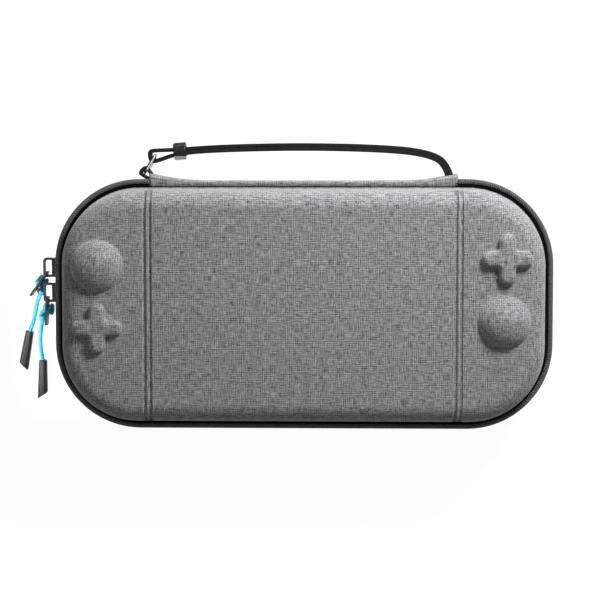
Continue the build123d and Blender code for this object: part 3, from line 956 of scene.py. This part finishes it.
# Cord routes: x and y from the tab's pivot, and height above the table
PIVOT_X = -0.1336
UPPER_PIVOT_Y = 0.0160
LOWER_PIVOT_Y = 0.0029
UPPER_CORD = [
    (-0.0040, -0.0101, 0.0225),
    (-0.0032, -0.0079, 0.0229),
    (-0.0039, -0.0062, 0.0249),
    (-0.0056, -0.0045, 0.0249),
    (-0.0062, -0.0044, 0.0231),
    (-0.0059, -0.0048, 0.0208),
    (-0.0050, -0.0057, 0.0198),
    (-0.0039, -0.0079, 0.0202),
    (-0.0043, -0.0105, 0.0201),
    (-0.0070, -0.0161, 0.0182),
    (-0.0091, -0.0227, 0.0126),
    (-0.0117, -0.0288, 0.0068),
    (-0.0138, -0.0329, 0.0042),
    (-0.0148, -0.0374, 0.0039),
]
LOWER_CORD = [
    (-0.0035, -0.0103, 0.0227),
    (-0.0038, -0.0080, 0.0233),
    (-0.0024, -0.0071, 0.0249),
    (0.0000, -0.0068, 0.0249),
    (0.0015, -0.0068, 0.0231),
    (0.0010, -0.0069, 0.0204),
    (-0.0012, -0.0074, 0.0192),
    (-0.0034, -0.0085, 0.0203),
    (-0.0037, -0.0109, 0.0202),
    (-0.0051, -0.0167, 0.0180),
    (-0.0067, -0.0237, 0.0124),
    (-0.0074, -0.0304, 0.0066),
    (-0.0068, -0.0354, 0.0042),
    (-0.0067, -0.0399, 0.0039),
]


# Heading of the tab in plan and of the tip, the slant of the tip's end, and the cord's length
UPPER_PULL = {"tab": (-0.595, -0.804), "tip": (-3.7, -19.4, -1.0), "slant": -34.0, "cord": 0.051}
LOWER_PULL = {"tab": (-0.06, -0.998), "tip": (-0.5, -19.4, -1.0), "slant": 34.0, "cord": 0.053}

# Turns of cord beside the tab, and the tip's section at its mouth and end
WRAP_LEVEL = 0.0208
WRAP_PLACE = 0.0064
WRAP_ASIDE = 0.00165
WRAP_RADIUS = 0.0021
TIP_LONG = 0.021
TIP_MOUTH = (0.0042, 0.0044)
TIP_END = (0.0053, 0.0052)
TIP_SQUARE = 3.0
TIP_BEVEL = 0.0005


def cord_wraps(pivot, heading, radius):
    """Turns of the cord on both sides of the tab that hangs from pivot along heading."""
    along = Vector((*heading, 0))
    side = Vector((-along.y, along.x, 0))
    wraps = []
    for aside in (-WRAP_ASIDE, WRAP_ASIDE):
        bpy.ops.object.select_all(action="DESELECT")
        bpy.ops.mesh.primitive_torus_add(
            location=pivot + WRAP_PLACE * along + aside * side,
            rotation=side.to_track_quat("Z", "Y").to_euler(),
            major_segments=40,
            minor_segments=16,
            major_radius=WRAP_RADIUS,
            minor_radius=radius,
        )
        bpy.ops.object.transform_apply(location=True, rotation=True, scale=True)
        bpy.ops.object.shade_smooth()
        wraps.append(bpy.context.object)
    return wraps


def tip_sleeve(name, mouth, heading, slant):
    """A tapered tip with a rounded square section, from its mouth along heading to a slanted end."""
    along = Vector(heading).normalized()
    side = Vector((-along.y, along.x, 0)).normalized()
    up = along.cross(side)
    bpy.ops.object.select_all(action="DESELECT")
    middle = (0, 0, TIP_LONG / 2)
    bpy.ops.mesh.primitive_cylinder_add(vertices=48, radius=0.5, depth=TIP_LONG, location=middle)
    bpy.ops.object.transform_apply(location=True, rotation=True, scale=True)
    tip = bpy.context.object
    tip.name = name
    for point in tip.data.vertices:
        wide, tall = TIP_END if point.co.z > TIP_LONG / 2 else TIP_MOUTH
        x, y, z = 2 * point.co.x, 2 * point.co.y, point.co.z
        stretch = (abs(x) ** TIP_SQUARE + abs(y) ** TIP_SQUARE) ** (-1 / TIP_SQUARE)
        point.co = mouth + x * stretch * wide / 2 * side + y * stretch * tall / 2 * up + z * along
    tilt = math.radians(slant)
    long_corner = mouth + TIP_LONG * along + math.copysign(TIP_END[0] / 2, -slant) * side
    bpy.ops.object.mode_set(mode="EDIT")
    bpy.ops.mesh.select_all(action="SELECT")
    bpy.ops.mesh.bisect(
        plane_co=long_corner,
        plane_no=math.sin(tilt) * side + math.cos(tilt) * along,
        use_fill=True,
        clear_outer=True,
    )
    bpy.ops.mesh.select_all(action="SELECT")
    bpy.ops.mesh.normals_make_consistent(inside=False)
    bpy.ops.object.mode_set(mode="OBJECT")
    sharp = math.radians(40)
    apply_modifier(tip, "BEVEL", width=TIP_BEVEL, segments=3, limit_method="ANGLE", angle_limit=sharp)
    bpy.ops.object.shade_smooth_by_angle(angle=math.radians(45))
    apply_modifier(tip, "WEIGHTED_NORMAL", keep_sharp=True)
    return tip


def cord_curve(name, points, radius):
    """A round cord on one smooth line through the route's control points."""
    curve = bpy.data.curves.new(name, "CURVE")
    curve.dimensions = "3D"
    spline = curve.splines.new("NURBS")
    spline.points.add(len(points) - 1)
    for control, point in zip(spline.points, points):
        control.co = (*point, 1.0)
    spline.order_u = 3
    spline.use_endpoint_u = True
    spline.resolution_u = 12
    curve.bevel_depth = radius
    curve.bevel_resolution = 5
    curve.use_fill_caps = True
    piece = bpy.data.objects.new(name, curve)
    bpy.context.scene.collection.objects.link(piece)
    return piece


class CASE_OT_stage(bpy.types.Operator):
    """White floor, camera over the front and soft light from the upper right"""

    bl_idname = "zip_case.stage"
    bl_label = "Stage"

    def execute(self, context):
        bpy.ops.object.select_all(action="DESELECT")
        bpy.ops.mesh.primitive_plane_add(size=8.0)
        floor = context.object
        floor.name = "floor"
        floor.data.materials.append(white_floor())
        add_camera(context.scene)
        add_light("key", (0.29, 0.42, 0.36), (0, 0, 0.03), 4.0, 0.16, 0.16)
        add_light("fill", (-0.3, 0.3, 0.9), (0, 0, 0.03), 0.4, 0.8, 0.8)
        add_light("top light", (0.05, 0.42, 0.10), (0, 0.05, 0.03), 0.9, 0.4, 0.06)
        add_light("pull light", (-0.25, -0.002, 0.21), (-0.142, -0.006, 0.016), 0.016, 0.10, 0.012, 10)
        add_world(context.scene)
        context.scene.view_settings.view_transform = "Standard"
        return {"FINISHED"}


# Camera: its place and aim, and the middle and width of the frame at the aim
CAMERA_PLACE = Vector((0.018, 0.070, 0.825))
CAMERA_AIM = Vector((-0.0018, 0.020, 0.025))
FRAME_MIDDLE_Y = 0.00189
FRAME_WIDTH = 0.3118


def add_camera(scene):
    camera = bpy.data.cameras.new("camera")
    camera.sensor_width = 36.0
    aside = CAMERA_AIM - CAMERA_PLACE
    camera.lens = camera.sensor_width * aside.length / FRAME_WIDTH
    camera.shift_y = (FRAME_MIDDLE_Y - CAMERA_AIM.y) / FRAME_WIDTH
    eye = bpy.data.objects.new("camera", camera)
    eye.location = CAMERA_PLACE
    eye.rotation_euler = (math.atan2(aside.y, -aside.z), math.atan2(-aside.x, -aside.z), 0)
    scene.collection.objects.link(eye)
    scene.camera = eye


def add_light(name, place, aim, power, wide, tall, spread=180):
    """A soft lamp of that size at a place, whose beam spreads by that many degrees round its aim."""
    lamp = bpy.data.lights.new(name, "AREA")
    lamp.shape = "ELLIPSE"
    lamp.size = wide
    lamp.size_y = tall
    lamp.spread = math.radians(spread)
    lamp.energy = power
    light = bpy.data.objects.new(name, lamp)
    light.location = place
    light.visible_camera = False
    light.rotation_euler = (Vector(aim) - Vector(place)).to_track_quat("-Z", "Y").to_euler()
    bpy.context.scene.collection.objects.link(light)


def seen_rays(tree):
    """1 for rays that show a surface: from the camera, a reflection or glass."""
    path = node(tree, "ShaderNodeLightPath").outputs
    seen = maths(tree, "MAXIMUM", path["Is Camera Ray"], path["Is Glossy Ray"])
    return maths(tree, "MAXIMUM", seen, path["Is Transmission Ray"])


def white_floor():
    material, tree, shader = new_material("White Floor", Base_Color=(0.85, 0.85, 0.85, 1), Roughness=0.9)
    glow = node(tree, "ShaderNodeEmission", {"Color": (1, 1, 1, 1), "Strength": 1.12})
    share = maths(tree, "MULTIPLY", seen_rays(tree), 0.85)
    mixed = node(tree, "ShaderNodeMixShader", {0: share, 1: shader.outputs[0], 2: glow.outputs[0]})
    tree.links.new(mixed.outputs[0], tree.nodes["Material Output"].inputs["Surface"])
    return material


def add_world(scene):
    world = bpy.data.worlds.new("studio")
    world.use_nodes = True
    tree = world.node_tree
    strength = maths(tree, "MULTIPLY_ADD", seen_rays(tree), 0.84)
    strength.node.inputs[2].default_value = 0.16
    tree.links.new(strength, tree.nodes["Background"].inputs["Strength"])
    tree.nodes["Background"].inputs["Color"].default_value = (1, 1, 1, 1)
    scene.world = world


class CASE_PT_panel(bpy.types.Panel):
    """Steps that dress the case, in order"""

    bl_idname = "CASE_PT_panel"
    bl_label = "Zip Case"
    bl_space_type = "VIEW_3D"
    bl_region_type = "UI"
    bl_category = "Zip Case"

    def draw(self, context):
        for group in (context.scene.case_sizes, context.scene.case_colours):
            for key in group.__annotations__:
                self.layout.prop(group, key)
        for step in STEPS:
            self.layout.operator(step.bl_idname)


STEPS = (
    CASE_OT_stage,
    CASE_OT_pulls,
    CASE_OT_shells,
    CASE_OT_zip,
    CASE_OT_spine,
    CASE_OT_strap,
    CASE_OT_inside,
    CASE_OT_sliders,
)
CLASSES = (CaseSizes, CaseColours, *STEPS, CASE_PT_panel)


def register():
    for kind in CLASSES:
        bpy.utils.register_class(kind)
    bpy.types.Scene.case_sizes = bpy.props.PointerProperty(type=CaseSizes)
    bpy.types.Scene.case_colours = bpy.props.PointerProperty(type=CaseColours)


def unregister():
    del bpy.types.Scene.case_colours
    del bpy.types.Scene.case_sizes
    for kind in reversed(CLASSES):
        bpy.utils.unregister_class(kind)


def make_materials(colours):
    heather_group()
    twill_group()
    shell_cloth("Heather Cloth", object_place, colours)
    shell_cloth("Spine Cloth", cloth_place, colours)
    lining_cloth()
    binding_twill(colours)
    braided_cord(colours)
    tip_rubber()
    black_enamel("Dark Metal", 0.3)
    black_enamel("Crimp Metal", 0.12)
    bright_steel()
    # Binding Web: the black weave at a fifth of its tone, painted shade for the gap beside the bead
    woven_black("Binding Web", colours, 900, 900, 0.02, 0.2)
    woven_black("Zip Tape", colours, 900, 900)
    woven_black("Webbing", colours, 700, 1200)
    woven_black("Elastic", colours, 1100, 500)
    nylon_coil()
    strap_leather()
    pocket_net()
    hook_patch()


def main():
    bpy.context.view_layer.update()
    register()
    make_materials(bpy.context.scene.case_colours)
    bpy.ops.zip_case.stage()
    bpy.ops.zip_case.pulls()
    bpy.ops.zip_case.shells()
    bpy.ops.zip_case.zip()
    bpy.ops.zip_case.spine()
    bpy.ops.zip_case.strap()
    bpy.ops.zip_case.inside()
    bpy.ops.zip_case.sliders()


if __name__ == "__main__":
    main()
